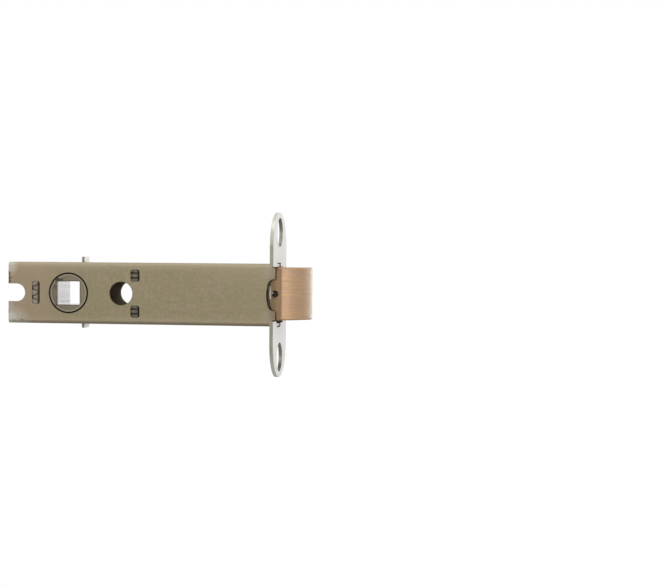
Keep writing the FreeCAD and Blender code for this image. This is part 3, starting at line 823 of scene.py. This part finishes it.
rearSpacer = softPart("rear_spacer", "case", "tenon_steel", edge=0.00007)
softPiece(rearSpacer)

springAbutment = softPart("spring_abutment", "case", "tenon_steel", edge=0.00007)
softPiece(springAbutment)

follower = softPart("follower", "follower", "follower_steel", edge=0.00012)
softPiece(follower)

retractorYoke = softPart("retractor_yoke", "retractor", "yoke_steel", edge=0.0001)
softPiece(retractorYoke)

upperPlate = softPart("upper_drive_plate", "retractor", "yoke_steel", edge=0.0001)
softPiece(upperPlate)

lowerPlate = softPart("lower_drive_plate", "retractor", "yoke_steel", edge=0.0001)
softPiece(lowerPlate)

returnWasher = softPart("return_spring_washer", "case", "yoke_steel", edge=0.00006)
softPiece(returnWasher)

boltWasher = softPart("bolt_spring_washer", "retractor", "yoke_steel", edge=0.00006)
softPiece(boltWasher)

boltCarrier = softPart("bolt_carrier", "bolt", "carrier_steel", edge=0.0001)
softPiece(boltCarrier)

boltHead = softPart("bolt_head", "bolt", "bolt_brass", edge=0.00012, sharp=32.0)
softPiece(boltHead)

boltPin = softPart("bolt_pin", "bolt", "pin_steel", edge=0.0001)
softPiece(boltPin)

drawRod = softPart("draw_rod", "bolt", "carrier_steel", edge=0.00008)
softPiece(drawRod)

rodWasher = softPart("draw_rod_washer", "bolt", "yoke_steel", edge=0.00006)
softPiece(rodWasher)

rodClip = softPart("draw_rod_clip", "bolt", "spring_steel", edge=0.00006)
softPiece(rodClip)

rollPin = softPart("carrier_roll_pin", "bolt", "spring_steel", edge=0.00005)
softPiece(rollPin)

# A spring's keep is the share of its length that is left at its slide's limit
returnSpring = softPart("return_spring", "case", "spring_steel", edge=0.0, crease=60.0)
returnSpring.update({"joint": "retractor_slide", "anchor": (-0.0482, 0.0, 0.0), "keep": 0.352})

boltSpring = softPart("bolt_spring", "retractor", "spring_steel", edge=0.0, crease=60.0)
boltSpring.update({"joint": "bolt_slide", "anchor": (-0.0305, 0.0, 0.0), "keep": 0.281})

for spring in (returnSpring, boltSpring):
    coil = softPiece(spring)
    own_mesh(coil)


# Stage: pale floor, white world, soft lights and the camera

stageValues = {"floorHeight": -0.14, "floorHalf": 4.0, "floorColour": (0.86, 0.86, 0.86, 1.0),
               "worldLevel": 0.82, "floorGloss": 0.5}


def makeFloor(values):
    half = values["floorHalf"]
    shape = bmesh.new()
    corners = [shape.verts.new((x, y, values["floorHeight"]))
               for x, y in ((-half, -half), (half, -half), (half, half), (-half, half))]
    shape.faces.new(corners)
    mesh = bpy.data.meshes.new("floor")
    shape.to_mesh(mesh)
    shape.free()
    floor = bpy.data.objects.new("floor", mesh)
    collection.objects.link(floor)
    material = bpy.data.materials.new("floor")
    material.use_nodes = True
    tree = material.node_tree
    tree.nodes.clear()
    path = make(tree, "LightPath")
    level = chosen(tree, path.outputs["Is Glossy Ray"], 1.0, values["floorGloss"])
    shown = make(tree, "Emission", Color=(1.0, 1.0, 1.0, 1.0), Strength=level)
    pale = make(tree, "BsdfDiffuse", Color=values["floorColour"])
    blend = make(tree, "MixShader")
    seen = maths(tree, "MAXIMUM", path.outputs["Is Camera Ray"], path.outputs["Is Glossy Ray"])
    feed(tree, blend.inputs[0], seen)
    tree.links.new(pale.outputs[0], blend.inputs[1])
    tree.links.new(shown.outputs[0], blend.inputs[2])
    output = make(tree, "OutputMaterial")
    tree.links.new(blend.outputs[0], output.inputs["Surface"])
    mesh.materials.append(material)


def makeWorld(values):
    world = bpy.data.worlds.new("white")
    bpy.context.scene.world = world
    world.use_nodes = True
    tree = world.node_tree
    tree.nodes.clear()
    rays = make(tree, "LightPath").outputs
    clear = maths(tree, "MAXIMUM", rays["Is Camera Ray"], rays["Is Transmission Ray"])
    clear = maths(tree, "MAXIMUM", clear, rays["Is Glossy Ray"])
    strength = chosen(tree, clear, values["worldLevel"], 1.0)
    back = make(tree, "Background", Color=(1.0, 1.0, 1.0, 1.0), Strength=strength)
    output = make(tree, "OutputWorld")
    tree.links.new(back.outputs[0], output.inputs["Surface"])


lamps = {
    "nearLamp": {"place": (-0.16, -0.75, 0.2), "aim": (-0.045, 0.0, 0.0), "width": 0.5,
                 "height": 0.5, "power": 0.5},
    "topLamp": {"place": (-0.05, -0.12, 0.55), "aim": (-0.045, 0.0, 0.0), "width": 0.6,
                "height": 0.3, "power": 0.45},
    "boltLamp": {"place": (0.47, -0.38, 0.06), "aim": (0.0, 0.0, 0.0), "width": 0.16,
                 "height": 0.4, "power": 0.4},
    "edgeLamp": {"place": (0.42, 0.4, 0.08), "aim": (0.0, 0.0, 0.0), "width": 0.2,
                 "height": 0.4, "power": 0.35},
}


def makeLamp(name, values):
    light = bpy.data.lights.new(name, "AREA")
    light.shape = "RECTANGLE"
    light.size = values["width"]
    light.size_y = values["height"]
    light.energy = values["power"]
    lamp = bpy.data.objects.new(name, light)
    collection.objects.link(lamp)
    place = Vector(values["place"])
    turn = (Vector(values["aim"]) - place).to_track_quat("-Z", "Y").to_matrix().to_4x4()
    lamp.matrix_world = Matrix.Translation(place) @ turn
    lamp.visible_camera = False


cameraValues = {"yaw": -0.1487, "pitch": 0.0265, "roll": 0.0076, "right": -0.0914297,
                "forward": 0.47905, "up": 0.0003734, "hub": 0.074, "lens": 73.08,
                "sensor": 36.0, "near": 0.01, "far": 20.0}


def makeCamera(values):
    turn = (Matrix.Rotation(values["roll"], 3, "Y") @ Matrix.Rotation(values["pitch"], 3, "X")
            @ Matrix.Rotation(values["yaw"], 3, "Z"))
    offset = Vector((values["right"], values["forward"], values["up"]))
    place = -(turn.transposed() @ offset) - Vector((values["hub"], 0.0, 0.0))
    axes = Matrix((turn[0], turn[2], -turn[1])).transposed()
    lens = bpy.data.cameras.new("camera")
    lens.lens = values["lens"]
    lens.sensor_width = values["sensor"]
    lens.sensor_fit = "HORIZONTAL"
    lens.clip_start = values["near"]
    lens.clip_end = values["far"]
    camera = bpy.data.objects.new("camera", lens)
    collection.objects.link(camera)
    camera.matrix_world = Matrix.Translation(place) @ axes.to_4x4()
    bpy.context.scene.camera = camera


makeFloor(stageValues)
makeWorld(stageValues)
for name, values in lamps.items():
    makeLamp(name, values)
makeCamera(cameraValues)
bpy.context.scene.view_settings.view_transform = "Standard"
print("stage: floor, world, lamps and camera placed")
